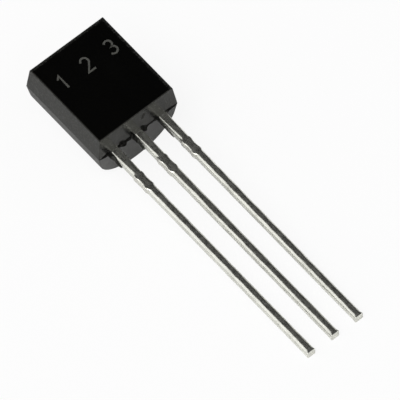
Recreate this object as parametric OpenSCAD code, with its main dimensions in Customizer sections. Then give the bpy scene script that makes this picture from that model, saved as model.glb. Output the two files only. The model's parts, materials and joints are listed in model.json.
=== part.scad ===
// TO-92 transistor: a half-round moulded body on three straight leads.
//
// The pieces are drawn level in a package frame. X runs across the leads, Y runs from
// the lead tips towards the body, and Z is square to the flat face. The origin is at
// the middle of the lead frame's thickness, where the centre lead leaves the body. The
// frame lies in the round half, so its top face is level with the parting line.
// set_down() then tips the whole transistor flat side up onto the heel of its round
// back and its three lead tips, which is how it comes to rest on a table.

/* [Moulded body] */
// Width at the parting line
body_w = 4.165; // [3.9:0.005:5]
// Height at the parting line, measured along the leads
body_h = 4.665; // [4.4:0.005:5.6]
// Depth of the front half, from the parting line to the flat face
front_d = 1.26; // [1:0.01:1.5]
// Depth of the round half, from the parting line to the back
back_d = 2.34; // [2.1:0.01:2.8]
// Draft of the front half's two sides, in degrees
front_side_draft = 6.7; // [4:0.1:10]
// Draft of the round half's two sides, in degrees
back_side_draft = 9; // [4:0.5:11]
// Draft of the front half's two ends, in degrees
front_end_draft = 4.6; // [3:0.1:8]
// Draft of the round half's two ends, in degrees
back_end_draft = 6; // [3:1:8]
// Radius of the edges around the flat face
flat_edge_r = 0.05; // [0.03:0.01:0.2]
// Ledge by which the round half stands proud of the front half
parting_ledge = 0.012; // [0.008:0.002:0.06]

/* [Leads outside the body] */
// Distance between neighbouring leads
lead_pitch = 1.27; // [1.2:0.01:1.4]
// Length of each lead outside the body
lead_l = 12.5; // [8:0.1:16]
// Width of each lead
lead_w = 0.4; // [0.36:0.01:0.48]
// Thickness of the lead frame
lead_t = 0.36; // [0.3:0.01:0.44]
// Radius of each lead's long edges on the flat's side, where the stamping rolled them over
roll_edge_r = 0.12; // [0.04:0.01:0.14]
// Radius of each lead's long edges on the other side
burr_edge_r = 0.05; // [0.03:0.01:0.1]
// Radius of the long edges on the flat's side between the body and the stub
root_edge_r = 0.06; // [0.02:0.01:0.12]
// Distance from the body to the sheared stub of the dam bar
stub_start = 1.4; // [1:0.05:2]
// Length of the stub with its two knuckles
stub_l = 1; // [0.6:0.05:1.4]
// How far the stub stands out past each side of the lead
stub_proud = 0.01; // [0.005:0.005:0.06]
// How far the knuckles at its two ends stand out
knuckle_proud = 0.025; // [0.02:0.005:0.08]
// Length of each knuckle
knuckle_l = 0.26; // [0.15:0.01:0.28]
// How far off centre the cutter passed, towards the collector lead's side
cutter_offset = 0.015; // [0.002:0.001:0.02]
// Rounded-over edge that the cutter leaves on the flat's side of each tip
tip_bevel = 0.06; // [0.03:0.01:0.1]

/* [Lead frame inside the body] */
// Length of plain lead that the body grips before the stamped shapes begin
grip_l = 0.5; // [0.3:0.05:0.8]
// Shoulder on each side that keeps a lead from pulling out
stem_shoulder = 0.05; // [0.02:0.01:0.1]
// Distance from the body's end to the top of the two bond posts
post_top = 1.8; // [1.5:0.05:2.1]
// Width of each bond post
post_w = 0.9; // [0.7:0.05:1]
// Height of each bond post
post_h = 0.65; // [0.5:0.05:0.8]
// How far the emitter's bond post leans towards the die
post_lean = 0.1; // [0:0.01:0.15]
// Gap between the bond posts and the die paddle
frame_gap = 0.3; // [0.2:0.05:0.45]
// Width of the die paddle
paddle_w = 2.4; // [2:0.05:2.6]
// Height of the die paddle
paddle_h = 1.55; // [1.2:0.05:1.7]
// Radius of the paddle's lock hole, which the moulding fills
lock_hole_r = 0.2; // [0.1:0.01:0.3]

/* [Die and bond wires] */
// Length of the square die's side
die_w = 0.5; // [0.35:0.05:0.7]
// Thickness of the die
die_t = 0.2; // [0.15:0.01:0.28]
// Distance from the centre lead's axis to the middle of the die
die_offset = 0.13; // [0:0.01:0.3]
// Distance from the paddle's lower edge to the die
die_edge = 0.15; // [0.1:0.05:0.3]
// Distance that the die attach spreads past the die
attach_spread = 0.04; // [0.02:0.01:0.08]
// Thickness of the die attach
attach_t = 0.025; // [0.02:0.005:0.04]
// Diameter of a bond wire
wire_d = 0.04; // [0.03:0.005:0.05]
// Diameter of the flattened bond at each end of a wire
bond_d = 0.11; // [0.08:0.01:0.14]
// Distance from the middle of the die to each of its bonds, along its sides
pad_step = 0.12; // [0.05:0.01:0.15]
// Height of the flattened bond
bond_h = 0.03; // [0.03:0.005:0.05]
// Angle at which a wire leaves its bonds, in degrees
wire_rise = 48; // [35:1:55]

/* [Hidden] */
$fn = 64;

past = 1; // how far a cutting shape runs past what it cuts

// the three lead positions, from left to right when the flat faces the reader
collector_x = -lead_pitch;
base_x = 0;
emitter_x = lead_pitch;
stem_w = lead_w + 2*stem_shoulder;

// the round half's own outline, with one full radius between its drafted sides
round_half_w = body_w + 2*parting_ledge;
round_half_h = body_h + 2*parting_ledge;
round_r = (round_half_w/2*cos(back_side_draft) - back_d*sin(back_side_draft))
          /(1 - sin(back_side_draft));

// the lead frame's top face carries the die and takes the bonds, and the moulding parts there
frame_top = lead_t/2;
post_y = post_top - post_h/2;
paddle_y = post_top + frame_gap;
paddle_x = collector_x - stem_w/2;
die_x = base_x + die_offset;
die_y = paddle_y + die_edge + die_w/2;
die_top = frame_top + attach_t + die_t;
emitter_post_x = emitter_x - post_lean;

// resting attitude: the heel of the round back and the lead tips share one plane
heel_y = back_d*tan(back_end_draft) - parting_ledge;
heel_z = frame_top - back_d;
rest_tilt = atan((back_d - lead_t)/(lead_l + heel_y));
heel_drop = -heel_z*cos(rest_tilt) - heel_y*sin(rest_tilt);
tip_end_y = -lead_l*cos(rest_tilt) - (lead_t/2 - tip_bevel)*sin(rest_tilt);
crown_end_y = max((body_h - heel_y)*cos(rest_tilt) - heel_z*sin(rest_tilt),
                  (body_h + parting_ledge)*cos(rest_tilt) - frame_top*sin(rest_tilt));

// Tips the level package onto its heel and lead tips, centred over the origin.
module set_down() {
    translate([0, -(tip_end_y + crown_end_y)/2, heel_drop])
        rotate([rest_tilt, 0, 0])
            children();
}

// Sweeps an outline drawn in X and Z along Y, from one Y to another.
module along_y(y0, y1) {
    translate([0, y1, 0])
        rotate([90, 0, 0])
            linear_extrude(y1 - y0)
                children();
}

// Sweeps an outline drawn in Y and Z across X, evenly on both sides.
module across_x(width) {
    rotate([90, 0, 90])
        linear_extrude(width, center = true)
            children();
}

// A drafted outline on the X axis whose two far corners are rounded to radius r.
module drafted_outline(base, height, draft, r) {
    arc_y = height - r;
    arc_x = base/2 - arc_y*tan(draft) - r/cos(draft);
    side = [arc_x + r*cos(draft), arc_y + r*sin(draft)];
    intersection() {
        union() {
            polygon([[-base/2, 0], [base/2, 0], side, [arc_x, height],
                     [-arc_x, height], [-side.x, side.y]]);
            for (x = [-arc_x, arc_x])
                translate([x, arc_y]) circle(r);
        }
        translate([-base/2, 0]) square([base, height]);
    }
}

// A drafted outline on the X axis with sharp corners.
module sharp_outline(base, height, draft) {
    inset = height*tan(draft);
    polygon([[-base/2, 0], [base/2, 0], [base/2 - inset, height], [inset - base/2, height]]);
}

// The half of the moulding between the parting line and the flat face.
module front_half() {
    intersection() {
        along_y(-past, body_h + past)
            drafted_outline(body_w, front_d, front_side_draft, flat_edge_r);
        translate([0, body_h/2, 0]) across_x(body_w + past)
            drafted_outline(body_h, front_d, front_end_draft, flat_edge_r);
    }
}

// The half of the moulding between the parting line and the round back.
module round_half() {
    mirror([0, 0, 1]) intersection() {
        along_y(-past, body_h + past)
            drafted_outline(round_half_w, back_d, back_side_draft, round_r);
        translate([0, body_h/2, 0]) across_x(round_half_w + past)
            sharp_outline(round_half_h, back_d, back_end_draft);
    }
}

// The section of a lead, rounded to one radius on the flat's side and one on the other.
module lead_section(front_r, back_r) {
    half_w = lead_w/2;
    half_t = lead_t/2;
    polygon([[half_w, half_t - front_r], [half_w - front_r, half_t],
             [front_r - half_w, half_t], [-half_w, half_t - front_r],
             [-half_w, back_r - half_t], [back_r - half_w, -half_t],
             [half_w - back_r, -half_t], [half_w, back_r - half_t]]);
    for (x = [-1, 1]) {
        translate([x*(half_w - front_r), half_t - front_r]) circle(front_r);
        translate([x*(half_w - back_r), back_r - half_t]) circle(back_r);
    }
}

// A stamped shape of the lead frame, drawn in X and Y.
module stamped() {
    linear_extrude(lead_t, center = true)
        children();
}

// One edge of the dam bar's stub as it leaves the body, shifted sideways with the cutter.
function stub_edge(side) =
    let (lead = side*lead_w/2, cut = lead - cutter_offset)
    [[lead, 0], [cut + side*knuckle_proud, knuckle_l/2],
     [cut + side*stub_proud, knuckle_l], [cut + side*stub_proud, stub_l - knuckle_l],
     [cut + side*knuckle_proud, stub_l - knuckle_l/2], [lead, stub_l]];

// The sheared stub of the dam bar, with a knuckle at each end.
module dam_bar_stub() {
    left = stub_edge(-1);
    right = stub_edge(1);
    translate([0, -stub_start, 0])
        mirror([0, 1, 0])
            stamped() polygon(concat(right, [for (i = [len(left) - 1:-1:0]) left[i]]));
}

// The plain lead from its sheared tip to the end of the grip inside the body.
module outer_lead() {
    along_y(-stub_start, grip_l) lead_section(root_edge_r, burr_edge_r);
    dam_bar_stub();
    intersection() {
        along_y(-lead_l, -stub_start - stub_l) lead_section(roll_edge_r, burr_edge_r);
        across_x(lead_w + past)
            polygon([[-lead_l, -lead_t], [-lead_l, lead_t/2 - tip_bevel],
                     [tip_bevel - lead_l, lead_t/2], [0, lead_t], [0, -lead_t]]);
    }
}

// The stem that joins a gripped lead to the stamped shape above it.
module stem(top) {
    stamped() translate([-stem_w/2, grip_l]) square([stem_w, top - grip_l]);
}

// A lead that ends in a bond post centred at post_x.
module posted_lead(lead_x, post_x) {
    translate([lead_x, 0, 0]) {
        outer_lead();
        stem(post_top);
    }
    stamped() translate([post_x - post_w/2, post_top - post_h]) square([post_w, post_h]);
}

// The paddle that carries the die, with its lock hole.
module die_paddle() {
    stamped() difference() {
        translate([paddle_x, paddle_y]) square([paddle_w, paddle_h]);
        translate([paddle_x + stem_w, paddle_y + paddle_h - 2*lock_hole_r]) circle(lock_hole_r);
    }
}

module collector_lead_level() {
    translate([collector_x, 0, 0]) {
        outer_lead();
        stem(paddle_y);
    }
    die_paddle();
}

module base_lead_level() {
    posted_lead(base_x, base_x);
}

module emitter_lead_level() {
    posted_lead(emitter_x, emitter_post_x);
}

module die_attach_level() {
    side = die_w + 2*attach_spread;
    translate([die_x - side/2, die_y - side/2, frame_top]) cube([side, side, attach_t]);
}

module silicon_die_level() {
    translate([die_x - die_w/2, die_y - die_w/2, frame_top + attach_t])
        cube([die_w, die_w, die_t]);
}

// A wire that arches between two bonds, each given as the middle of its foot.
module bond_wire(from, to) {
    run = norm([to.x - from.x, to.y - from.y]);
    drop = from.z - to.z;
    arch_r = norm([run, drop])/(2*sin(wire_rise));
    for (foot = [from, to])
        translate(foot) cylinder(d = bond_d, h = bond_h);
    translate(from + [0, 0, bond_h])
        rotate([0, atan(drop/run), atan2(to.y - from.y, to.x - from.x)])
            translate([arch_r*sin(wire_rise), 0, -arch_r*cos(wire_rise)])
                rotate([90, wire_rise - 90, 0])
                    rotate_extrude(angle = 2*wire_rise)
                        translate([arch_r, 0]) circle(d = wire_d);
}

module base_bond_wire_level() {
    bond_wire([die_x - pad_step, die_y - pad_step, die_top], [base_x, post_y, frame_top]);
}

module emitter_bond_wire_level() {
    bond_wire([die_x + pad_step, die_y, die_top], [emitter_post_x, post_y, frame_top]);
}

// The moulding, filled around everything that it seals in.
module moulded_body_level() {
    difference() {
        translate([0, 0, frame_top]) {
            front_half();
            round_half();
        }
        collector_lead_level();
        base_lead_level();
        emitter_lead_level();
        die_attach_level();
        silicon_die_level();
        base_bond_wire_level();
        emitter_bond_wire_level();
    }
}

module moulded_body() {
    color([0.05, 0.05, 0.05]) set_down() moulded_body_level();
}

module collector_lead() {
    color([0.78, 0.78, 0.75]) set_down() collector_lead_level();
}

module base_lead() {
    color([0.78, 0.78, 0.75]) set_down() base_lead_level();
}

module emitter_lead() {
    color([0.78, 0.78, 0.75]) set_down() emitter_lead_level();
}

module silicon_die() {
    color([0.35, 0.38, 0.45]) set_down() silicon_die_level();
}

module die_attach() {
    color([0.7, 0.7, 0.66]) set_down() die_attach_level();
}

module base_bond_wire() {
    color([0.9, 0.7, 0.3]) set_down() base_bond_wire_level();
}

module emitter_bond_wire() {
    color([0.9, 0.7, 0.3]) set_down() emitter_bond_wire_level();
}

moulded_body();
collector_lead();
base_lead();
emitter_lead();
silicon_die();
die_attach();
base_bond_wire();
emitter_bond_wire();
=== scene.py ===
"""Looks of the TO-92 transistor: moulding, tinned leads, pin numerals, inner pieces and studio.

Pieces are drawn in the level package frame, in millimetres: X runs across the leads, Y from the
lead tips towards the body and Z square to the flat face, from the middle of the lead frame's
thickness where the centre lead leaves the body. The moulding parts at the frame's top face.
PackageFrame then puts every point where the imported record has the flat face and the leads, in
metres, and the finishes read the same level frame.
"""

from __future__ import annotations

import json
import logging
import math
from dataclasses import dataclass, field, replace
from enum import Enum
from typing import Any, Iterable, Mapping, Sequence, Union

import bmesh
import bpy
from mathutils import Matrix, Vector, noise

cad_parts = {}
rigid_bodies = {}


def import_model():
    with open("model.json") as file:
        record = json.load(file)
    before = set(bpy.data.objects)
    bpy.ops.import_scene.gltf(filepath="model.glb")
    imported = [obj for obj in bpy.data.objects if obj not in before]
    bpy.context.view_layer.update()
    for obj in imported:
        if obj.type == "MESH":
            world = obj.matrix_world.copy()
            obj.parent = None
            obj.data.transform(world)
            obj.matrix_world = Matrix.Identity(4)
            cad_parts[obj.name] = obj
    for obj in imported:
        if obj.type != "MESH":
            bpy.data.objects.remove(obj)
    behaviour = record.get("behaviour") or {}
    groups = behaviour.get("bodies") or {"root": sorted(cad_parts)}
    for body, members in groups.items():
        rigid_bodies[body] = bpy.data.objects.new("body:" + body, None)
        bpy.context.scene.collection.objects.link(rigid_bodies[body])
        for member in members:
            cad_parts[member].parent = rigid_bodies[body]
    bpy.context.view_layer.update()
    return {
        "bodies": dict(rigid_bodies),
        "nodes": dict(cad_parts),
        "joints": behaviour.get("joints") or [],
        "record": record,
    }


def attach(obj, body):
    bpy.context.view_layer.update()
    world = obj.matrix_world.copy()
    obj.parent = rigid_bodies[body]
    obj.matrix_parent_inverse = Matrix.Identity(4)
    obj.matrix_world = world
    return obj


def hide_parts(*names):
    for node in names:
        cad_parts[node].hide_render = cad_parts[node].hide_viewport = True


LOG = logging.getLogger("transistor")
MM = 0.001
LEAD_PITCH = 1.27
MERGED = 0.0002 * MM
FACE_INFLUENCE = 80
WAVE_GAIN = 1.7
WAVE_ROWS = (3.71, 0.37)
BODY = "root"

Point = tuple[float, float, float]
Colour = tuple[float, float, float]
Pair = tuple[float, float]


class Slot(Enum):
    """Names of the record's material slots for the new pieces, passed along but not assigned."""

    COMPOUND = "moulding_compound"
    TIN = "tinned_lead"


# ---------------------------------------------------------------- shader graphs


class Term:
    """A shader value whose arithmetic adds Math nodes to its graph."""

    def __init__(self, graph: Graph, socket: bpy.types.NodeSocket) -> None:
        """Wraps a socket.

        Args:
            graph: The graph that new nodes are added to.
            socket: The output socket that carries the value.
        """
        self.graph = graph
        self.socket = socket

    def _math(self, operation: str, *values: Value) -> Term:
        """Adds one Math node.

        Args:
            operation: The Math node's operation.
            values: Its inputs, in order.

        Returns:
            The node's result.
        """
        inputs = dict(enumerate(values))
        return self.graph.value("ShaderNodeMath", {"operation": operation}, inputs)

    def __add__(self, other: Value) -> Term:
        """Sum."""
        return self._math("ADD", self, other)

    def __radd__(self, other: Value) -> Term:
        """Sum with a number on the left."""
        return self._math("ADD", other, self)

    def __sub__(self, other: Value) -> Term:
        """Difference."""
        return self._math("SUBTRACT", self, other)

    def __rsub__(self, other: Value) -> Term:
        """Difference with a number on the left."""
        return self._math("SUBTRACT", other, self)

    def __mul__(self, other: Value) -> Term:
        """Product."""
        return self._math("MULTIPLY", self, other)

    def __rmul__(self, other: Value) -> Term:
        """Product with a number on the left."""
        return self._math("MULTIPLY", other, self)

    def __abs__(self) -> Term:
        """Magnitude."""
        return self._math("ABSOLUTE", self)

    def highest(self, other: Value) -> Term:
        """The larger of this and another value."""
        return self._math("MAXIMUM", self, other)

    def from_nearest(self, step: float) -> Term:
        """Distance from the nearest whole multiple of a step, with its sign."""
        return self._math("WRAP", self, step / 2, -step / 2)

    def ramp(self, start: float, end: float) -> Term:
        """Smooth step of this value.

        Args:
            start: The value at which the result is 0.
            end: The value at which the result is 1. It may be below start.

        Returns:
            A value from 0 to 1.
        """
        settings = {"interpolation_type": "SMOOTHSTEP"}
        if start < end:
            values = {0: self, 1: start, 2: end, 3: 0.0, 4: 1.0}
        else:
            values = {0: self, 1: end, 2: start, 3: 1.0, 4: 0.0}
        return self.graph.value("ShaderNodeMapRange", settings, values)


Value = Union[Term, float]


class Graph:
    """A node tree that is filled through a few calls."""

    def __init__(self, tree: bpy.types.NodeTree) -> None:
        """Empties a tree and takes it over.

        Args:
            tree: The node tree of a material or a world.
        """
        self.tree = tree
        tree.nodes.clear()

    def add(
        self,
        kind: str,
        settings: Mapping[str, Any] | None = None,
        values: Mapping[str | int, Any] | None = None,
    ) -> bpy.types.Node:
        """Adds one node.

        Args:
            kind: The node's type name.
            settings: Properties that are set first, such as a Math node's operation.
            values: Socket names or numbers, with the constants or links that they take.

        Returns:
            The new node.
        """
        node = self.tree.nodes.new(kind)
        for name, setting in (settings or {}).items():
            setattr(node, name, setting)
        for name, value in (values or {}).items():
            if isinstance(value, Term):
                self.tree.links.new(value.socket, node.inputs[name])
            elif isinstance(value, bpy.types.NodeSocket):
                self.tree.links.new(value, node.inputs[name])
            else:
                node.inputs[name].default_value = value
        return node

    def value(
        self,
        kind: str,
        settings: Mapping[str, Any] | None = None,
        values: Mapping[str | int, Any] | None = None,
        output: str | int = 0,
    ) -> Term:
        """Adds a node and wraps one of its outputs.

        Args:
            kind: The node's type name.
            settings: As for add.
            values: As for add.
            output: Name or number of the output.

        Returns:
            The wrapped output.
        """
        return Term(self, self.add(kind, settings, values).outputs[output])

    def level(self, frame: PackageFrame) -> bpy.types.NodeSocket:
        """Coordinates in the level package frame.

        Args:
            frame: Where the package lies.

        Returns:
            The coordinates, in millimetres.
        """
        place = self.add("ShaderNodeTexCoord").outputs["Object"]
        values = {
            "Vector": place,
            "Location": frame.origin,
            "Rotation": (frame.tilt, 0.0, 0.0),
            "Scale": (MM, MM, MM),
        }
        return self.add("ShaderNodeMapping", {"vector_type": "TEXTURE"}, values).outputs[0]

    def grown(self, place: bpy.types.NodeSocket, pattern: Pattern) -> Texture:
        """Adds a pattern's noise.

        Args:
            place: Coordinates in millimetres.
            pattern: The pattern.

        Returns:
            The noise with its pattern.
        """
        if pattern.stretch:
            factors = {0: place, 1: pattern.stretch}
            place = self.add("ShaderNodeVectorMath", {"operation": "MULTIPLY"}, factors).outputs[0]
        values = {
            "Vector": place,
            "Scale": pattern.scale,
            "Detail": pattern.detail,
            "Roughness": pattern.bite,
        }
        return Texture(self.value("ShaderNodeTexNoise", None, values, "Fac"), pattern)

    def axes(self, place: bpy.types.NodeSocket) -> tuple[Term, Term, Term]:
        """Splits coordinates into their three values."""
        node = self.add("ShaderNodeSeparateXYZ", None, {0: place})
        return tuple(Term(self, socket) for socket in node.outputs)

    def blend(self, share: Value, low: Any, high: Any) -> bpy.types.NodeSocket:
        """Mixes two colours.

        Args:
            share: How much of the second colour shows.
            low: The first colour, or a socket.
            high: The second colour, or a socket.

        Returns:
            The mixed colour.
        """
        ends = [(*c, 1.0) if isinstance(c, tuple) else c for c in (low, high)]
        node = self.add(
            "ShaderNodeMix", {"data_type": "RGBA"}, {0: share, 6: ends[0], 7: ends[1]}
        )
        return node.outputs[2]

    def bumps(self, *layers: tuple[Term, float]) -> bpy.types.NodeSocket:
        """Stacks Bump nodes.

        Args:
            layers: Height and its depth in millimetres, coarse ones first.

        Returns:
            The normal to shade with.
        """
        normal = None
        for height, depth in layers:
            values = {"Height": height, "Distance": depth * MM}
            if normal is not None:
                values["Normal"] = normal
            normal = self.add("ShaderNodeBump", None, values).outputs["Normal"]
        return normal

    def surface(self, shader: bpy.types.Node) -> None:
        """Links a shader to the material's output."""
        self.add("ShaderNodeOutputMaterial", None, {"Surface": shader.outputs[0]})

    def principled(self, values: Mapping[str, Any]) -> None:
        """Makes the material's surface a Principled shader.

        Args:
            values: The sockets that it sets or links.
        """
        self.surface(self.add("ShaderNodeBsdfPrincipled", None, values))


def linked(name: str, data: bpy.types.ID) -> bpy.types.Object:
    """Makes an object and links it to the scene.

    Args:
        name: The object's name.
        data: Its mesh, lamp or camera.

    Returns:
        The object.
    """
    made = bpy.data.objects.new(name, data)
    bpy.context.scene.collection.objects.link(made)
    return made


def new_material(name: str) -> tuple[bpy.types.Material, Graph]:
    """Makes an empty material.

    Args:
        name: Its name.

    Returns:
        The material and its graph.
    """
    material = bpy.data.materials.new(name)
    material.use_nodes = True
    return material, Graph(material.node_tree)


# ---------------------------------------------------------------- finishes


@dataclass(frozen=True)
class Pattern:
    """A noise pattern of a finish, and how strongly it works there.

    Attributes:
        scale: Features in a millimetre.
        detail: Octaves.
        bite: Strength of each further octave.
        stretch: Factors for the coordinates, axis by axis, if they differ.
        depth: Depth of its bumps, in millimetres.
        matte: How far it swings the roughness.
        rise: Noise values between which the second colour comes up.
        share: How much of the second colour shows at most.
    """

    scale: float
    detail: float = 2.0
    bite: float = 0.5
    stretch: Point | None = None
    depth: float = 0.0
    matte: float = 0.0
    rise: Pair = (0.35, 0.7)
    share: float = 1.0


@dataclass(frozen=True)
class Texture:
    """A pattern's noise in one material.

    Attributes:
        noise: The noise, from 0 to 1 and mostly around 0.5.
        pattern: The pattern.
    """

    noise: Term
    pattern: Pattern

    @property
    def relief(self) -> tuple[Term, float]:
        """Height and depth of its bumps."""
        return self.noise, self.pattern.depth

    @property
    def matting(self) -> Term:
        """What it adds to the roughness."""
        return (self.noise - 0.5) * self.pattern.matte

    @property
    def tinting(self) -> Term:
        """How much of the second colour it shows."""
        return self.noise.ramp(*self.pattern.rise) * self.pattern.share


@dataclass(frozen=True)
class MouldingCompound:
    """Black epoxy full of silica, with the fine skin of a spark-eroded mould.

    Attributes:
        colour: The epoxy's colour.
        filler: The silica's colour.
        wall_roughness: Roughness of the side and far walls.
        front_end_roughness: Roughness of the front half's lead end.
        back_end_roughness: Roughness of the round half's lead end.
        flat_roughness: Roughness of the flat.
        flat_polish_and_shade: Share of the silica kept off the flat, partly for its polish, partly
            as painted shade.
        refraction: Index of refraction.
        tint: Colour of the gloss.
        end_facing: How squarely a wall faces the leads where it begins and ends to count.
        flat_levels: Z between which the wall turns into the flat.
        parting_levels: Z between which the round half turns into the front half.
        skin: Fine skin of the mould.
        flow: Slow unevenness from the flow of the compound.
        silica: Coarse grains.
        specks: Fine grains.
    """

    colour: Colour = (0.0005, 0.0005, 0.0005)
    filler: Colour = (0.046, 0.046, 0.043)
    wall_roughness: float = 0.42
    front_end_roughness: float = 0.13
    back_end_roughness: float = 0.31
    flat_roughness: float = 0.20
    flat_polish_and_shade: float = 0.99
    refraction: float = 1.38
    tint: Colour = (1.0, 1.0, 0.88)
    end_facing: Pair = (0.8, 0.93)
    flat_levels: Pair = (1.423, 1.436)
    parting_levels: Pair = (0.17, 0.19)
    skin: Pattern = Pattern(15.0, 3.0, 0.7, depth=0.0042, matte=0.08)
    flow: Pattern = Pattern(
        1.1, 3.0, stretch=(1.0, 0.45, 1.0), depth=0.005, matte=0.10, share=0.03
    )
    silica: Pattern = Pattern(11.0, 2.0, 0.6, rise=(0.5, 0.64), share=0.5)
    specks: Pattern = Pattern(48.0, 1.0, rise=(0.64, 0.78), share=0.1)

    def material(self, frame: PackageFrame) -> bpy.types.Material:
        """Builds the material. The flat and the lead end are polished, the other walls less so.

        Args:
            frame: Where the package lies.

        Returns:
            The moulding's material.
        """
        material, graph = new_material("moulding_compound")
        place = graph.level(frame)
        _, _, out = graph.axes(place)
        _, forward, _ = graph.axes(graph.add("ShaderNodeTexCoord").outputs["Normal"])
        skin, flow = graph.grown(place, self.skin), graph.grown(place, self.flow)
        silica, specks = graph.grown(place, self.silica), graph.grown(place, self.specks)

        flat = out.ramp(*self.flat_levels)
        lead_end = (0 - forward).ramp(*self.end_facing) * (1 - flat)
        front = out.ramp(*self.parting_levels)
        end_roughness = self.back_end_roughness - front * (
            self.back_end_roughness - self.front_end_roughness
        )
        roughness = (
            self.wall_roughness
            - flat * (self.wall_roughness - self.flat_roughness)
            - lead_end * (self.wall_roughness - end_roughness)
        )
        # The flat shows almost no silica colour, so it is painted darker than the walls: partly its
        # polish, partly painted shade.
        share = (silica.tinting + specks.tinting + flow.tinting) * (1 - flat * self.flat_polish_and_shade)
        graph.principled(
            {
                "Base Color": graph.blend(share, self.colour, self.filler),
                "Roughness": roughness + flow.matting + skin.matting,
                "IOR": self.refraction,
                "Specular Tint": (*self.tint, 1.0),
                "Normal": graph.bumps(flow.relief, skin.relief),
            }
        )
        return material


@dataclass(frozen=True)
class TinnedLead:
    """Tin plating on a stamped and drawn lead, worn through where the tools sheared it.

    Attributes:
        colour: The tin's colour.
        dull: Its colour in dull patches.
        bare: Colour of the metal under it.
        bare_share: How far a sheared face turns to that colour.
        roughness: The tin's roughness.
        sheared_matte: What shearing adds to it.
        pitch: Distance between the leads.
        stub_low: Y between which the stub's sheared sides come up.
        stub_high: Y between which they do so from the other end.
        stub_side: Distances from the lead's axis between which they do so.
        cut_tip: Y between which the sheared tip comes up.
        drawn: Lines along the lead.
        crystals: Fine grain of the tin.
        patches: Dull patches.
        dimples: Shallow dents.
        streaks: Lines that the shear leaves across the lead.
    """

    colour: Colour = (0.74, 0.74, 0.68)
    dull: Colour = (0.60, 0.60, 0.545)
    bare: Colour = (0.66, 0.65, 0.60)
    bare_share: float = 0.55
    roughness: float = 0.28
    sheared_matte: float = 0.08
    pitch: float = LEAD_PITCH
    stub_low: Pair = (-2.42, -2.36)
    stub_high: Pair = (-1.39, -1.46)
    stub_side: Pair = (0.185, 0.197)
    cut_tip: Pair = (-12.488, -12.497)
    drawn: Pattern = Pattern(1.0, 3.0, 0.6, (34.0, 0.9, 34.0), depth=0.0016, matte=0.10)
    crystals: Pattern = Pattern(42.0, 2.0, 0.6, depth=0.0005)
    patches: Pattern = Pattern(
        1.4, 3.0, 0.6, (2.2, 1.0, 2.2), depth=0.006, matte=0.16, rise=(0.42, 0.72)
    )
    dimples: Pattern = Pattern(6.5, stretch=(1.0, 0.7, 1.0), depth=0.0038, matte=0.20)
    streaks: Pattern = Pattern(1.0, stretch=(4.0, 44.0, 3.0), depth=0.004)

    def material(self, frame: PackageFrame) -> bpy.types.Material:
        """Builds the material. It reads how far a point is from the nearest lead's axis.

        Args:
            frame: Where the package lies.

        Returns:
            The leads' material.
        """
        material, graph = new_material("tinned_lead")
        place = graph.level(frame)
        sideways, along, _ = graph.axes(place)
        drawn, crystals = graph.grown(place, self.drawn), graph.grown(place, self.crystals)
        patches, dimples = graph.grown(place, self.patches), graph.grown(place, self.dimples)
        streaks = graph.grown(place, self.streaks)

        across = abs(sideways.from_nearest(self.pitch))
        stub = along.ramp(*self.stub_low) * along.ramp(*self.stub_high)
        sheared = (stub * across.ramp(*self.stub_side)).highest(along.ramp(*self.cut_tip))
        tin = graph.blend(patches.tinting, self.colour, self.dull)
        graph.principled(
            {
                "Base Color": graph.blend(sheared * self.bare_share, tin, self.bare),
                "Metallic": 1.0,
                "Roughness": self.roughness
                + patches.matting
                + dimples.matting
                + drawn.matting
                + sheared * self.sheared_matte,
                "Normal": graph.bumps(
                    patches.relief,
                    dimples.relief,
                    drawn.relief,
                    crystals.relief,
                    (streaks.noise * sheared, self.streaks.depth),
                ),
            }
        )
        return material


@dataclass(frozen=True)
class LaserMark:
    """Pale, slightly broken layer that a laser leaves on the moulding.

    Attributes:
        colour: The layer's colour.
        worn: Its colour where it is broken.
        roughness: Its roughness.
        refraction: Index of refraction.
        pits: Where it is broken.
    """

    colour: Colour = (0.062, 0.062, 0.055)
    worn: Colour = (0.031, 0.031, 0.027)
    roughness: float = 0.6
    refraction: float = 1.4
    pits: Pattern = Pattern(22.0, 3.0, 0.6, depth=0.002, matte=0.2, rise=(0.5, 0.72))

    def material(self, frame: PackageFrame) -> bpy.types.Material:
        """Builds the material.

        Args:
            frame: Where the package lies.

        Returns:
            The numerals' material.
        """
        material, graph = new_material("laser_mark")
        pits = graph.grown(graph.level(frame), self.pits)
        graph.principled(
            {
                "Base Color": graph.blend(pits.tinting, self.colour, self.worn),
                "Roughness": self.roughness + pits.matting,
                "IOR": self.refraction,
                "Normal": graph.bumps(pits.relief),
            }
        )
        return material


@dataclass(frozen=True)
class InnerFinish:
    """A plain finish of a piece that the moulding seals in, with its own grain.

    Attributes:
        name: The material's name.
        colour: Its main colour.
        shade: The colour that its grain brings in.
        metallic: How metallic it is.
        roughness: Its roughness.
        grain: Its grain.
    """

    name: str
    colour: Colour
    shade: Colour
    metallic: float
    roughness: float
    grain: Pattern

    def material(self, frame: PackageFrame) -> bpy.types.Material:
        """Builds the material.

        Args:
            frame: Where the package lies.

        Returns:
            The piece's material.
        """
        material, graph = new_material(self.name)
        grain = graph.grown(graph.level(frame), self.grain)
        graph.principled(
            {
                "Base Color": graph.blend(grain.tinting, self.colour, self.shade),
                "Metallic": self.metallic,
                "Roughness": self.roughness + grain.matting,
                "Normal": graph.bumps(grain.relief),
            }
        )
        return material


SILICON = InnerFinish(
    "silicon",
    (0.22, 0.25, 0.33),
    (0.16, 0.18, 0.25),
    0.6,
    0.18,
    Pattern(60.0, 3.0, 0.6, depth=0.0003, matte=0.15),
)
SILVER_EPOXY = InnerFinish(
    "silver_epoxy",
    (0.62, 0.61, 0.58),
    (0.48, 0.47, 0.44),
    0.8,
    0.5,
    Pattern(70.0, 3.0, 0.6, depth=0.003, matte=0.15),
)
GOLD = InnerFinish(
    "gold_wire",
    (0.90, 0.66, 0.27),
    (0.84, 0.60, 0.23),
    1.0,
    0.2,
    Pattern(90.0, 3.0, 0.6, depth=0.0005, matte=0.15),
)


# ---------------------------------------------------------------- placing and skinning


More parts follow.
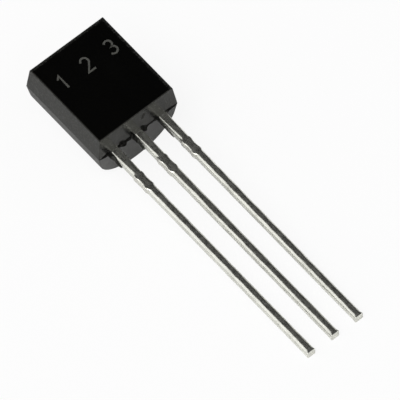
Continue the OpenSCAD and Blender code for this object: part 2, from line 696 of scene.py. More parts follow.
@dataclass(frozen=True)
class PackageFrame:
    """Where the level package frame lies in the row frame, in metres.

    Attributes:
        origin: Its zero.
        upward: Direction of its Y, from the lead tips towards the body.
        outward: Direction of its Z, out of the flat.
    """

    origin: Vector
    upward: Vector
    outward: Vector

    @classmethod
    def from_record(cls, record: Mapping[str, Any], height: float, flat: float) -> PackageFrame:
        """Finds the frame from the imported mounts.

        Args:
            record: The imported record.
            height: The body's height in millimetres.
            flat: Z of the flat in the level frame, in millimetres.

        Returns:
            The frame.
        """
        mounts = {mount["name"]: mount for mount in record["mounts"]}
        outward = Vector(mounts["flat_face"]["axis"]).normalized()
        upward = -Vector(mounts["base_lead_end"]["axis"]).normalized()
        face = Vector(mounts["flat_face"]["pos_m"])
        origin = face - outward * (flat * MM) - upward * (height / 2 * MM)
        return cls(origin, upward, outward)

    @property
    def tilt(self) -> float:
        """How far the package leans, in radians."""
        return math.atan2(self.upward.z, self.upward.y)

    def place(self, point: Point) -> Vector:
        """Where a point of the level frame lies in the row frame.

        Args:
            point: The point, in millimetres.

        Returns:
            Its place, in metres.
        """
        side = self.upward.cross(self.outward)
        x, y, z = point
        return self.origin + (side * x + self.upward * y + self.outward * z) * MM


class Skin:
    """Collects points and faces, in millimetres, and turns them into a piece."""

    def __init__(self) -> None:
        """Starts empty."""
        self.points: list[Point] = []
        self.faces: list[Sequence[int]] = []

    def line(self, points: Iterable[Point]) -> list[int]:
        """Adds points.

        Args:
            points: The points, in order.

        Returns:
            Their numbers.
        """
        first = len(self.points)
        self.points.extend(points)
        return list(range(first, len(self.points)))

    def bridge(self, one: Sequence[int], two: Sequence[int], closed: bool = True) -> None:
        """Joins two lines of as many points with quads.

        Args:
            one: The first line.
            two: The second line.
            closed: Whether the last point joins the first.
        """
        count = len(one)
        for i in range(count if closed else count - 1):
            j = (i + 1) % count
            self.faces.append((one[i], one[j], two[j], two[i]))

    def cap(self, ring: Sequence[int]) -> None:
        """Closes a flat ring with triangles round its middle.

        Args:
            ring: The ring's point numbers, in order.
        """
        middle = sum((Vector(self.points[i]) for i in ring), Vector()) / len(ring)
        (centre,) = self.line([tuple(middle)])
        self.faces.extend((a, b, centre) for a, b in zip(ring, [*ring[1:], ring[0]]))

    def tube(self, sections: Iterable[Sequence[Point]]) -> None:
        """Adds a closed tube.

        Args:
            sections: Its sections, from one end to the other.
        """
        rings = [self.line(section) for section in sections]
        for one, two in zip(rings, rings[1:]):
            self.bridge(one, two)
        self.cap(rings[0])
        self.cap(rings[-1])

    def piece(
        self, name: str, frame: PackageFrame, shift: Point = (0, 0, 0), crisp_deg: float = 30.0
    ) -> bpy.types.Object:
        """Makes the mesh object.

        Args:
            name: The piece's name.
            frame: Where the package lies.
            shift: Where the points' own zero lies in the level frame, in millimetres.
            crisp_deg: Edges that turn more than this stay crisp.

        Returns:
            The linked object, with faces outward and equal points merged.
        """
        mesh = bpy.data.meshes.new(name)
        home = Vector(shift)
        mesh.from_pydata([frame.place(Vector(p) + home) for p in self.points], [], self.faces)
        shape = bmesh.new()
        shape.from_mesh(mesh)
        bmesh.ops.remove_doubles(shape, verts=shape.verts, dist=MERGED)
        bmesh.ops.dissolve_degenerate(shape, edges=shape.edges, dist=MERGED / 2)
        bmesh.ops.recalc_face_normals(shape, faces=shape.faces)
        shape.to_mesh(mesh)
        shape.free()
        for polygon in mesh.polygons:
            polygon.use_smooth = True
        mesh.set_sharp_from_angle(angle=math.radians(crisp_deg))
        piece = linked(name, mesh)
        weights = piece.modifiers.new("weighted_normals", "WEIGHTED_NORMAL")
        weights.keep_sharp = True
        weights.weight = FACE_INFLUENCE
        return piece


def dress(
    piece: bpy.types.Object, material: bpy.types.Material, slot: Slot, *nodes: str
) -> bpy.types.Object:
    """Gives a piece its finish and hooks it onto the frame.

    Args:
        piece: The piece.
        material: Its material.
        slot: Not used.
        nodes: CAD nodes that it stands for.

    Returns:
        The same piece.
    """
    piece.data.materials.clear()
    piece.data.materials.append(material)
    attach(piece, BODY)
    if nodes:
        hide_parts(*nodes)
    return piece


def spread(start: float, end: float, count: int) -> list[float]:
    """Evenly spaced numbers.

    Args:
        start: The first.
        end: The last.
        count: How many steps lie between them.

    Returns:
        count + 1 numbers.
    """
    return [start + (end - start) * i / count for i in range(count + 1)]


def arc_points(centre: Pair, radii: Pair, start: float, end: float, steps: int) -> list[Pair]:
    """Points on an ellipse.

    Args:
        centre: Its centre.
        radii: Its two radii.
        start: Angle of the first point, in degrees.
        end: Angle of the last point.
        steps: How many steps lie between them.

    Returns:
        The points.
    """
    (x, y), (wide, high) = centre, radii
    turns = map(math.radians, spread(start, end, steps))
    return [(x + wide * math.cos(a), y + high * math.sin(a)) for a in turns]


def wander(place: float, row: float, period: float) -> float:
    """Smooth, repeatable waviness.

    Args:
        place: Where along the piece, in millimetres.
        row: Any number that tells one line of waviness from another.
        period: Rough length of one wave, in millimetres.

    Returns:
        A value from about -1 to 1.
    """
    return WAVE_GAIN * noise.noise(Vector((place / period, *(row * step for step in WAVE_ROWS))))


def quarter_turn(steps: int) -> list[float]:
    """Angles from 0 to 90 degrees, in radians."""
    return [math.radians(angle) for angle in spread(0, 90, steps)]


# ---------------------------------------------------------------- the moulded body


@dataclass(frozen=True)
class PartingFlash:
    """The thin, ragged flash that the mould leaves along the parting line at the leads' end.

    Attributes:
        reaches: Places across the leads, with how far the flash stands out there.
        raggedness: Share by which it wavers.
        tooth: Length of one waver.
    """

    reaches: tuple[Pair, ...] = (
        (-2.08, 0.0), (-2.0, 0.03), (-1.8, 0.05), (-1.64, 0.09), (-1.5, 0.15), (-1.44, 0.0),
        (-1.1, 0.0), (-1.05, 0.09), (-0.92, 0.15), (-0.76, 0.13), (-0.66, 0.05), (-0.5, 0.075),
        (-0.3, 0.045), (-0.22, 0.05), (-0.17, 0.0), (0.17, 0.0), (0.21, 0.17), (0.31, 0.19),
        (0.40, 0.07), (0.5, 0.035), (0.8, 0.04), (1.04, 0.06), (1.1, 0.0), (1.44, 0.0),
        (1.48, 0.09), (1.6, 0.05), (1.9, 0.04), (2.08, 0.0),
    )  # fmt: skip
    raggedness: float = 0.3
    tooth: float = 0.13

    def at(self, across: float) -> float:
        """How far the flash stands out.

        Args:
            across: Place across the leads, in millimetres.

        Returns:
            The reach there, in millimetres.
        """
        for (x0, r0), (x1, r1) in zip(self.reaches, self.reaches[1:]):
            if x0 <= across < x1:
                reach = r0 + (r1 - r0) * (across - x0) / (x1 - x0)
                return max(0.0, reach * (1 + self.raggedness * wander(across, 1.0, self.tooth)))
        return 0.0


@dataclass(frozen=True)
class ResinBleed:
    """A film of resin that bled out along one side of a lead and tapers away from the body.

    Attributes:
        edge: X of the lead's side.
        side: 1 for the lead's right side, -1 for its left.
        width: How far the film stands out at the body.
        full: How far from the body it keeps its height.
        reach: How far from the body it ends.
        front: Z of its top at the body.
        back: Z of its foot.
        embed: How far it lies inside the lead.
        root: How far it starts inside the body.
        least: Its width and height where it ends.
        raggedness: Share by which its width wavers.
        tooth: Length of one waver.
        height_fall: Power with which its height falls.
        width_fall: Power with which its width falls.
        shoulder: Share of the width at which its corners are cut.
        cuts: Shares of the height that the upper and the lower corner lose.
        steps: Steps along it.
    """

    edge: float
    side: int
    width: float
    full: float
    reach: float
    front: float = -0.02
    back: float = -0.375
    embed: float = 0.01
    root: float = 0.1
    least: float = 0.012
    raggedness: float = 0.2
    tooth: float = 0.09
    height_fall: float = 1.3
    width_fall: float = 0.5
    shoulder: float = 0.55
    cuts: Pair = (0.15, 0.1)
    steps: int = 26

    def ring(self, out: float) -> list[Point]:
        """One section of the film.

        Args:
            out: Distance of the section from the body's low end.

        Returns:
            The section's outline, from the lead's side outwards.
        """
        left = max(0.0, 1 - max(0.0, out - self.full) / (self.reach - self.full))
        high = self.least + (self.front - self.back - self.least) * left**self.height_fall
        wide = self.least
        if out < self.reach:
            ragged = 1 + self.raggedness * wander(out, self.edge + 3, self.tooth)
            wide += self.width * (1 - out / self.reach) ** self.width_fall * ragged
        inner, outer = self.edge - self.side * self.embed, self.edge + self.side * wide
        shoulder = self.edge + self.side * wide * self.shoulder
        return [
            (inner, -out, self.back + high),
            (shoulder, -out, self.back + high * (1 - self.cuts[0])),
            (outer, -out, self.back + high / 2),
            (shoulder, -out, self.back + high * self.cuts[1]),
            (inner, -out, self.back),
        ]

    def add_to(self, skin: Skin) -> None:
        """Adds the film to a skin that is drawn from the parting plane.

        Args:
            skin: Collects the faces.
        """
        skin.tube(self.ring(out) for out in spread(-self.root, self.reach, self.steps))


@dataclass(frozen=True)
class Scrape:
    """Short slanting groove in the front half's lead end, between the middle and right leads.

    Attributes:
        foot: X of its lower end, and that end's distance from the parting plane.
        head: The same of its upper end.
        reach: Half of its width.
        depth: Its depth.
    """

    foot: Pair = (0.262, 0.68)
    head: Pair = (0.403, 0.965)
    reach: float = 0.062
    depth: float = 0.07

    def at(self, x: float, level: float) -> float:
        """How deep the groove is at one point of the lead end.

        Args:
            x: X of the point.
            level: Its distance from the parting plane.

        Returns:
            The depth, 0 outside the groove.
        """
        share = (level - self.foot[1]) / (self.head[1] - self.foot[1])
        if not 0 < share < 1:
            return 0.0
        centre = self.foot[0] + (self.head[0] - self.foot[0]) * share
        across = max(0.0, 1 - ((x - centre) / self.reach) ** 2)
        return self.depth * across * math.sqrt(math.sin(math.pi * share))


@dataclass(frozen=True)
class WallSection:
    """A section of the front half, square to its depth.

    Attributes:
        level: Its distance from the parting plane.
        reach: Half of its width, before its right half is worn.
        worn: How much of its reach the right half keeps.
        low: Y of its low side.
        high: Y of its high side.
        radius: Radius of its corners.
    """

    level: float
    reach: float
    worn: float
    low: float
    high: float
    radius: float

    def inside(self, margin: float, sunk: float) -> WallSection:
        """A section that lies inside this one.

        Args:
            margin: How far in it lies on every side.
            sunk: How much nearer to the parting plane it lies.

        Returns:
            The section.
        """
        return replace(
            self,
            level=self.level - sunk,
            reach=self.reach - margin,
            low=self.low + margin,
            high=self.high - margin,
        )


@dataclass
class MouldedBody:
    """The half-round moulding, with its drafted walls, its flash and its softly worn far edges.

    Its points lie in millimetres from the parting plane, with Y at 0 on the body's low end.

    Attributes:
        width: Width at the parting plane.
        height: Height at the parting plane, without the ledge.
        front_depth: From the parting plane to the flat.
        back_depth: From the parting plane to the back.
        front_side_draft: Draft of the front half's sides, in degrees.
        back_side_draft: Draft of the round half's sides.
        front_end_draft: Draft of the front half's ends.
        back_end_draft: Draft of the round half's ends.
        flat_edge_radius: Radius of the flat's edges.
        worn_edge_width: How far in the soft fall of the far and right edges starts.
        worn_edge_depth: How deep that fall is.
        ledge: How far the two ends stand out at the parting plane.
        ledge_fade: Distance from the parting plane at which the front half's ledge is gone.
        parting: Z of the parting plane in the level frame.
        corner_radius: Radius of the front half's corners at the parting plane.
        back_edge_radius: Radius of the edges of the round half's ends.
        least_radius: Least radius of a corner.
        face_sink: How far the middle of the flat is sunk.
        face_rings: Rings of points on the flat: margin from its edge and share of the sink.
        straight_depths: Depths of the points on the straight part of the round half's sides.
        flash_zone: Highest Y of the points that the flash moves.
        flash_root: Share of the flash that the points just behind the parting plane take.
        crisp_deg: Edges that turn more than this stay crisp.
        end_steps: Steps over half of an end.
        corner_steps: Steps round a corner.
        side_steps: Steps along a side.
        arc_steps: Steps round the back.
        wall_steps: Steps up a wall of the front half, below the worn edges.
        worn_steps: Steps round the worn edges.
        flash: The flash.
        scrape: The scrape in the lead end.
        bleeds: The films of resin along the leads.
    """

    width: float = 4.189
    height: float = 4.665
    front_depth: float = 1.26
    back_depth: float = 2.34
    front_side_draft: float = 6.7
    back_side_draft: float = 9.0
    front_end_draft: float = 4.6
    back_end_draft: float = 6.0
    flat_edge_radius: float = 0.051
    worn_edge_width: float = 0.29
    worn_edge_depth: float = 0.07
    ledge: float = 0.012
    ledge_fade: float = 0.5
    parting: float = 0.18
    corner_radius: float = 0.05
    back_edge_radius: float = 0.03
    least_radius: float = 0.012
    face_sink: float = 0.003
    face_rings: tuple[Pair, ...] = ((0.12, 0.25), (0.3, 0.7), (0.7, 1.0))
    straight_depths: tuple[float, ...] = (0.02, 0.045, 0.09, 0.18, 0.3, 0.42)
    flash_zone: float = 0.05
    flash_root: float = 0.35
    crisp_deg: float = 28.0
    end_steps: int = 84
    corner_steps: int = 7
    side_steps: int = 30
    arc_steps: int = 60
    wall_steps: int = 25
    worn_steps: int = 18
    flash: PartingFlash = PartingFlash()
    scrape: Scrape = Scrape()
    bleeds: tuple[ResinBleed, ...] = (
        ResinBleed(-1.47, -1, 0.14, 0.36, 0.72),
        ResinBleed(-1.07, 1, 0.03, 0.10, 0.45),
        ResinBleed(-0.2, -1, 0.12, 0.30, 0.66),
        ResinBleed(0.2, 1, 0.06, 0.10, 0.28),
        ResinBleed(1.07, -1, 0.05, 0.08, 1.0),
    )

    def half_outline(self, section: WallSection) -> list[Pair]:
        """Right half of a section's outline, from the middle of its low side to its high side's.

        Args:
            section: The section.

        Returns:
            X and Y of the points.
        """
        reach, low, high, radius = section.reach, section.low, section.high, section.radius
        quarter = quarter_turn(self.corner_steps)[1:]
        inner = reach - radius
        points = [(x, low) for x in spread(0, inner, self.end_steps)]
        points += [
            (inner + radius * math.sin(a), low + radius * (1 - math.cos(a))) for a in quarter
        ]
        points += [(reach, y) for y in spread(low + radius, high - radius, self.side_steps)[1:]]
        points += [
            (inner + radius * math.cos(a), high - radius * (1 - math.sin(a))) for a in quarter
        ]
        return points + [(x, high) for x in spread(inner, 0, self.end_steps)[1:]]

    def loop(self, section: WallSection) -> list[Point]:
        """Mirrors the right half of a section's outline into a closed loop.

        Args:
            section: The section.

        Returns:
            The whole loop.
        """
        half = self.half_outline(section)
        right = [(x * section.worn, y, section.level) for x, y in half]
        left = [(-x, y, section.level) for x, y in reversed(half[1:-1])]
        return right + left

    def inset(self, level: float, draft: float) -> float:
        """How far a wall of the front half, with the flat's rounded edge, has leant in.

        Args:
            level: Distance from the parting plane.
            draft: The wall's draft in degrees.

        Returns:
            The distance in from the wall's foot.
        """
        turn, radius = math.radians(draft), self.flat_edge_radius
        centre = self.front_depth - radius
        if level <= centre + radius * math.sin(turn):
            return level * math.tan(turn)
        centre_in = centre * math.tan(turn) + radius / math.cos(turn)
        return centre_in - math.sqrt(max(0.0, radius**2 - (level - centre) ** 2))

    def worn_inset(self, level: float, draft: float) -> float:
        """How far a wall has leant in where the flat's edge is softly worn.

        Args:
            level: Distance from the parting plane.
            draft: The wall's draft in degrees.

        Returns:
            The distance in from the wall's foot.
        """
        share = max(0.0, 1 - (self.front_depth - level) / self.worn_edge_depth)
        fallen = self.worn_edge_width * (1 - math.sqrt(1 - share**2))
        return level * math.tan(math.radians(draft)) + fallen

    def front_levels(self) -> list[float]:
        """Depths of the front half's loops, close together around the flat's rounded edge.

        Returns:
            The depths, from the parting plane to the flat.
        """
        centre = self.front_depth - self.worn_edge_depth
        bend = [centre + self.worn_edge_depth * math.sin(a) for a in quarter_turn(self.worn_steps)]
        return spread(0.0, centre, self.wall_steps)[:-1] + bend

    def front_section(self, level: float) -> WallSection:
        """One section of the front half.

        Args:
            level: Its distance from the parting plane.

        Returns:
            The section.
        """
        drafts = (self.front_side_draft, self.front_end_draft)
        side, end = (self.inset(level, draft) for draft in drafts)
        worn_side, worn_end = (self.worn_inset(level, draft) for draft in drafts)
        foot = self.ledge * max(0.0, 1 - level / self.ledge_fade)
        reach = self.width / 2 - side
        return WallSection(
            level=level,
            reach=reach,
            worn=1 - max(0.0, worn_side - side) / reach,
            low=end - foot,
            high=self.height - max(end, worn_end) + foot,
            radius=max(self.corner_radius - side, self.least_radius),
        )

    def front_half(self, skin: Skin) -> list[int]:
        """Builds the walls and the flat.

        Args:
            skin: Collects the faces.

        Returns:
            The loop at the parting plane.
        """
        walls = [self.front_section(level) for level in self.front_levels()]
        flat = walls[-1]
        rings = [flat.inside(margin, self.face_sink * share) for margin, share in self.face_rings]
        loops = [skin.line(self.scraped(point) for point in self.loop(wall)) for wall in walls]
        loops += [skin.line(self.loop(ring)) for ring in rings]
        for one, two in zip(loops, loops[1:]):
            skin.bridge(one, two)
        skin.cap(loops[-1])
        return loops[0]

    def scraped(self, point: Point) -> Point:
        """Sinks a point of the lead end into the scrape."""
        x, y, z = point
        return (x, y + self.scrape.at(x, z), z) if y < self.height / 2 else point

    def arc(self) -> Pair:
        """Radius of the round back and depth of its centre behind the parting plane.

        Returns:
            The radius and the depth.
        """
        turn = math.radians(self.back_side_draft)
        half = self.width / 2
        radius = (half * math.cos(turn) - self.back_depth * math.sin(turn)) / (1 - math.sin(turn))
        return radius, self.back_depth - radius

    def back_profile(self) -> list[tuple[float, float, float, float]]:
        """Samples the round half's outline from right to left.

        Returns:
            X, depth behind the parting plane and the outward direction of each sample.
        """
        draft, half = self.back_side_draft, self.width / 2
        turn = math.radians(draft)
        radius, centre = self.arc()
        straight = [
            (half - depth * math.tan(turn), depth, math.cos(turn), math.sin(turn))
            for depth in self.straight_depths
        ]
        round_part = [
            (radius * math.cos(a), centre + radius * math.sin(a), math.cos(a), math.sin(a))
            for a in map(math.radians, spread(draft, 180 - draft, self.arc_steps))
        ]
        mirrored = [(-x, depth, -out_x, out_d) for x, depth, out_x, out_d in reversed(straight)]
        return [(half, 0.0, 1.0, 0.0), *straight, *round_part, *mirrored, (-half, 0.0, -1.0, 0.0)]

    def back_line(self, x: float, depth: float, out_x: float, out_d: float) -> list[Point]:
        """One line over the round half, from the low end's middle to the high end's middle.

        Args:
            x: The outline sample's X.
            depth: Its depth behind the parting plane.
            out_x: X of its outward direction.
            out_d: Depth part of its outward direction.

        Returns:
            The line's points.
        """
        radius = self.back_edge_radius
        lean = math.tan(math.radians(self.back_end_draft))
        rim = (x - radius * out_x, max(0.0, depth - radius * out_d))
        track = [(rim[0] * share, rim[1] * share, 0.0) for share in spread(0, 1, self.end_steps)]
        for a in quarter_turn(self.corner_steps)[1:]:
            back = radius * (1 - math.sin(a))
            behind = max(0.0, depth - back * out_d)
            track.append((x - back * out_x, behind, radius * (1 - math.cos(a))))
        low = [(px, pd * lean - self.ledge + rise, -pd) for px, pd, rise in track]
        high = [(px, self.height - y, z) for px, y, z in reversed(low)]
        ys = spread(low[-1][1], high[0][1], self.side_steps)[1:-1]
        return low + [(x, y, -depth) for y in ys] + high

    def round_half(self, skin: Skin) -> list[int]:
        """Builds the round half with its flash.

        Args:
            skin: Collects the faces.

        Returns:
            The loop at the parting plane.
        """
        lines = [self.back_line(*sample) for sample in self.back_profile()]
        for row, share in ((0, 1.0), (-1, 1.0), (1, self.flash_root), (-2, self.flash_root)):
            lines[row] = [self.with_flash(point, share) for point in lines[row]]
        numbers = [skin.line(line) for line in lines]
        for one, two in zip(numbers, numbers[1:]):
            skin.bridge(one, two, closed=False)
        return numbers[0] + numbers[-1][-2:0:-1]

    def with_flash(self, point: Point, share: float) -> Point:
        """Pushes a point of the low end's parting edge out to the flash.

        Args:
            point: The point.
            share: How much of the flash it takes.

        Returns:
            The moved point.
        """
        x, y, z = point
        if y > self.flash_zone or abs(x) > self.width / 2:
            return point
        return (x, y - self.flash.at(x) * share, z)

    def build(self, frame: PackageFrame) -> bpy.types.Object:
        """Makes the body.

        Args:
            frame: Where the package lies.

        Returns:
            The piece, not yet dressed.
        """
        skin = Skin()
        front = self.front_half(skin)
        skin.bridge(self.round_half(skin), front)
        for bleed in self.bleeds:
            bleed.add_to(skin)
        return skin.piece("moulding", frame, (0.0, 0.0, self.parting), self.crisp_deg)


# ---------------------------------------------------------------- the leads


@dataclass(frozen=True)
class Station:
    """One section of a lead.

    Attributes:
        along: Its Y.
        left: X of its left side, from the lead's axis.
        right: X of its right side.
        roll: Radius of its edges on the flat's side.
        burr: Radius of its other edges.
        front: Z of its face on the flat's side.
        back: Z of its other face.
    """

    along: float
    left: float
    right: float
    roll: float
    burr: float
    front: float
    back: float


class InnerEnd(Enum):
    """What a lead ends in, inside the moulding."""

    POST = "post"
    PADDLE = "paddle"


@dataclass
class Lead:
    """A stamped and tinned lead, from its sheared tip to its end inside the moulding.

    Attributes:
        name: The piece's name.
        node: The CAD node that it stands for.
        across: X of its axis.
        inner: What it ends in, inside the moulding.
        lean: How far to the right of the axis its post stands.
        length: From the body to the tip.
        width: Width of its section.
        thickness: Thickness of its section.
        roll_radius: Radius of its edges on the flat's side.
        burr_radius: Radius of its other edges.
        root_radius: Radius of its edges on the flat's side where it enters the body.
        crisp_deg: Edges that turn more than this stay crisp.
        tip_gap: How far the tip falls short of the length.
        tip_bevel: How far the rolled-over edge of the tip reaches.
        tip_inset: How far in the sides of the sheared face lie, and the radius of its corners.
        tip_shear: How far in the sides start behind the sheared face.
        tip_flare: How far out the cutter squeezed them after that.
        tip_roll: Radius of the tip's edges on the flat's side.
        tip_burr: Radius of its other edges.
        tip_run: Length over which the tip turns into the plain section.
        run_from_tip: Distance from the tip at which the plain run starts.
        run_from_stub: Distance from the stub at which it ends.
        side_waver: How far its sides waver.
        side_wave: Length of that waver.
        front_waver: How far its face on the flat's side wavers.
        front_wave: Length of that waver.
        front_low: Share of that waver by which the face lies lower.
        roll_waver: Share by which the rolled edges' radius wavers.
        roll_wave: Length of that waver.
        stub_start: Distance from the body to the stub.
        stub_length: Length of the stub.
        stub_proud: How far the stub stands out.
        knuckle_proud: How far its knuckles stand out.
        knuckle_length: Length of a knuckle.
        cutter_offset: How far to the left of the axis the stub was cut.
        root_roll: Radius of the edges on the flat's side next to the stub.
        root_waver: How far the root's face on the flat's side wavers.
        root_wave: Length of that waver.
        root_low: Share of that waver by which the face lies lower.
        grip: How far into the body the plain section reaches.
        shoulder: How much wider the stem is on each side.
        post_top: Y of the post's top.
        post_width: Width of the post.
        post_height: Height of the post.
        frame_gap: Gap between posts and paddle.
        paddle_width: Width of the paddle.
        paddle_height: Height of the paddle.
        inner_radius: Radius of the edges inside the body.
        tip_steps: Steps round the tip's edge, and along the tip behind it.
        run_steps: Steps along the plain run.
        root_steps: Steps along the root.
        corner_steps: Steps round one edge of the section.
        face_steps: Steps across one face of the section.
    """

    name: str
    node: str
    across: float
    inner: InnerEnd
    lean: float = 0.0
    length: float = 12.5
    width: float = 0.40
    thickness: float = 0.36
    roll_radius: float = 0.13
    burr_radius: float = 0.05
    root_radius: float = 0.06
    crisp_deg: float = 32.0

    tip_gap: float = 0.008
    tip_bevel: float = 0.035
    tip_inset: float = 0.02
    tip_shear: float = 0.012
    tip_flare: float = 0.006
    tip_roll: float = 0.05
    tip_burr: float = 0.03
    tip_run: float = 0.14

    run_from_tip: float = 0.35
    run_from_stub: float = 0.1
    side_waver: float = 0.004
    side_wave: float = 0.8
    front_waver: float = 0.003
    front_wave: float = 0.7
    front_low: float = 0.6
    roll_waver: float = 0.12
    roll_wave: float = 0.5

    stub_start: float = 1.4
    stub_length: float = 1.0
    stub_proud: float = 0.01
    knuckle_proud: float = 0.025
    knuckle_length: float = 0.26
    cutter_offset: float = 0.015

    root_roll: float = 0.12
    root_waver: float = 0.002
    root_wave: float = 0.5
    root_low: float = 0.4
    grip: float = 0.5
    shoulder: float = 0.05
    post_top: float = 1.8
    post_width: float = 0.9
    post_height: float = 0.65
    frame_gap: float = 0.3
    paddle_width: float = 2.4
    paddle_height: float = 1.55
    inner_radius: float = 0.012

    tip_steps: int = 5
    run_steps: int = 60
    root_steps: int = 14
    corner_steps: int = 7
    face_steps: int = 4

    def section(
        self, along: float, left: float, right: float, roll: float, burr: float, crown: float = 0.0
    ) -> Station:
        """One section that is a little wider or thicker than the plain lead.

        Args:
            along: Y of the section.
            left: How far its left side stands out.
            right: How far its right side stands out.
            roll: Radius of its edges on the flat's side.
            burr: Radius of its other edges.
            crown: How far its face on the flat's side stands out.

        Returns:
            The section.
        """
        half, reach = self.thickness / 2, self.width / 2
        return Station(along, -reach - left, reach + right, roll, burr, half + crown, -half)

    def waver(self, place: float, row: int, wave: float) -> float:
        """Waviness along the lead, with its own rows for each lead."""
        return wander(place, self.across + row, wave)

    def tip_stations(self) -> list[Station]:
        """Sections of the sheared tip: a little flattened, with the flat's side rolled over.

        Returns:
            The sections, from the tip on.
        """
        end, inset = self.tip_gap - self.length, self.tip_inset
        stations = [self.section(end, -inset, -inset, inset, inset, -self.tip_bevel)]
        for angle in spread(15, 90, self.tip_steps):
            rise = math.sin(math.radians(angle))
            place = end + self.tip_bevel * (1 - math.cos(math.radians(angle)))
            out = self.tip_flare * rise - self.tip_shear * (1 - rise)
            crown = -self.tip_bevel * (1 - rise)
            stations.append(self.section(place, out, out, self.tip_roll, self.tip_burr, crown))
        for share in spread(0.2, 1, self.tip_steps):
            place = end + self.tip_bevel + self.tip_run * share
            out = self.tip_flare * (1 - share) ** 2
            roll = self.tip_roll + (self.roll_radius - self.tip_roll) * share
            stations.append(self.section(place, out, out, roll, self.burr_radius))
        return stations

    def run_stations(self) -> list[Station]:
        """Sections of the long plain run, with the slight waviness of drawn metal.

        Returns:
            The sections, from the tip on.
        """
        start = self.run_from_tip - self.length
        end = -self.stub_start - self.stub_length - self.run_from_stub
        stations = []
        for place in spread(start, end, self.run_steps):
            left = self.side_waver * self.waver(place, 1, self.side_wave)
            right = self.side_waver * self.waver(place, 2, self.side_wave)
            crown = self.front_waver * (self.waver(place, 3, self.front_wave) - self.front_low)
            roll = self.roll_radius * (1 + self.roll_waver * self.waver(place, 4, self.roll_wave))
            stations.append(self.section(place, left, right, roll, self.burr_radius, crown))
        return stations

    def stub_stations(self) -> list[Station]:
        """Sections of the dam bar's sheared stub, with a knuckle at each end.

        Returns:
            The sections, from the tip on.
        """
        low, high = -self.stub_start - self.stub_length, -self.stub_start
        knuckle, proud, long = self.knuckle_proud, self.stub_proud, self.knuckle_length
        plan = (
            (low, 0.0, 0.12, 0.0),
            (low + 0.06, knuckle * 0.3, 0.10, -0.002),
            (low + long * 0.5, knuckle * 0.85, 0.06, -0.004),
            (low + long * 0.75, knuckle, 0.045, -0.006),
            (low + long * 1.1, knuckle * 0.75, 0.055, -0.003),
            (low + long * 1.35, proud, 0.07, 0.0),
            (low + self.stub_length * 0.55, proud * 0.9, 0.085, -0.004),
            (high - long * 1.2, proud, 0.07, 0.0),
            (high - long, knuckle * 0.8, 0.05, -0.003),
            (high - long * 0.65, knuckle, 0.045, -0.006),
            (high - long * 0.35, knuckle * 0.6, 0.065, -0.004),
            (high - 0.08, knuckle * 0.15, 0.09, -0.002),
        )
        stations = []
        for place, out, roll, crown in plan:
            shift = self.cutter_offset if out else 0.0
            burr = min(roll, self.burr_radius)
            stations.append(self.section(place, out + shift, out - shift, roll, burr, crown))
        return stations

    def root_stations(self) -> list[Station]:
        """Sections between the stub and the end of the grip inside the moulding.

        Returns:
            The sections, from the tip on.
        """
        stations = []
        for place in spread(-self.stub_start, self.grip, self.root_steps):
            near = min(1.0, max(0.0, -place / self.stub_start))
            roll = self.root_radius + (self.root_roll - self.root_radius) * near
            crown = self.root_waver * (self.waver(place, 5, self.root_wave) - self.root_low)
            stations.append(self.section(place, 0.0, 0.0, roll, self.burr_radius, crown))
        return stations

    def inner_stations(self) -> list[Station]:
        """Sections of the stem and of the post or paddle inside the moulding.

        Returns:
            The sections, from the tip on.
        """
        half, radius = self.thickness / 2, self.inner_radius
        stem = self.width / 2 + self.shoulder
        if self.inner is InnerEnd.POST:
            shoulder, top = self.post_top - self.post_height, self.post_top
            left, right = self.lean - self.post_width / 2, self.lean + self.post_width / 2
        else:
            shoulder = self.post_top + self.frame_gap
            top = shoulder + self.paddle_height
            left, right = -stem, self.paddle_width - stem
        plan = (
            (self.grip, -stem, stem),
            (shoulder, -stem, stem),
            (shoulder, left, right),
            (top, left, right),
        )
        return [Station(*place, radius, radius, half, -half) for place in plan]

    def ring(self, station: Station) -> list[Point]:
        """Points around one section.

        Args:
            station: The section.

        Returns:
            The points, in order.
        """
        roll, burr = station.roll, station.burr
        corners = (
            (station.right - roll, station.front - roll, 0, roll),
            (station.left + roll, station.front - roll, 90, roll),
            (station.left + burr, station.back + burr, 180, burr),
            (station.right - burr, station.back + burr, 270, burr),
        )
        arcs = [
            arc_points((x, z), (r, r), start, start + 90, self.corner_steps)
            for x, z, start, r in corners
        ]
        points: list[Pair] = []
        for arc, following in zip(arcs, arcs[1:] + arcs[:1]):
            (x0, z0), (x1, z1) = arc[-1], following[0]
            points += arc
            points += [
                (x0 + (x1 - x0) * f, z0 + (z1 - z0) * f)
                for f in spread(0, 1, self.face_steps)[1:-1]
            ]
        return [(self.across + x, station.along, z) for x, z in points]

    def build(self, frame: PackageFrame) -> bpy.types.Object:
        """Makes the lead.

        Args:
            frame: Where the package lies.

        Returns:
            The piece, not yet dressed.
        """
        stations = (
            self.tip_stations()
            + self.run_stations()
            + self.stub_stations()
            + self.root_stations()
            + self.inner_stations()
        )
        skin = Skin()
        skin.tube(self.ring(station) for station in stations)
        return skin.piece(self.name, frame, crisp_deg=self.crisp_deg)


# ---------------------------------------------------------------- pin numerals


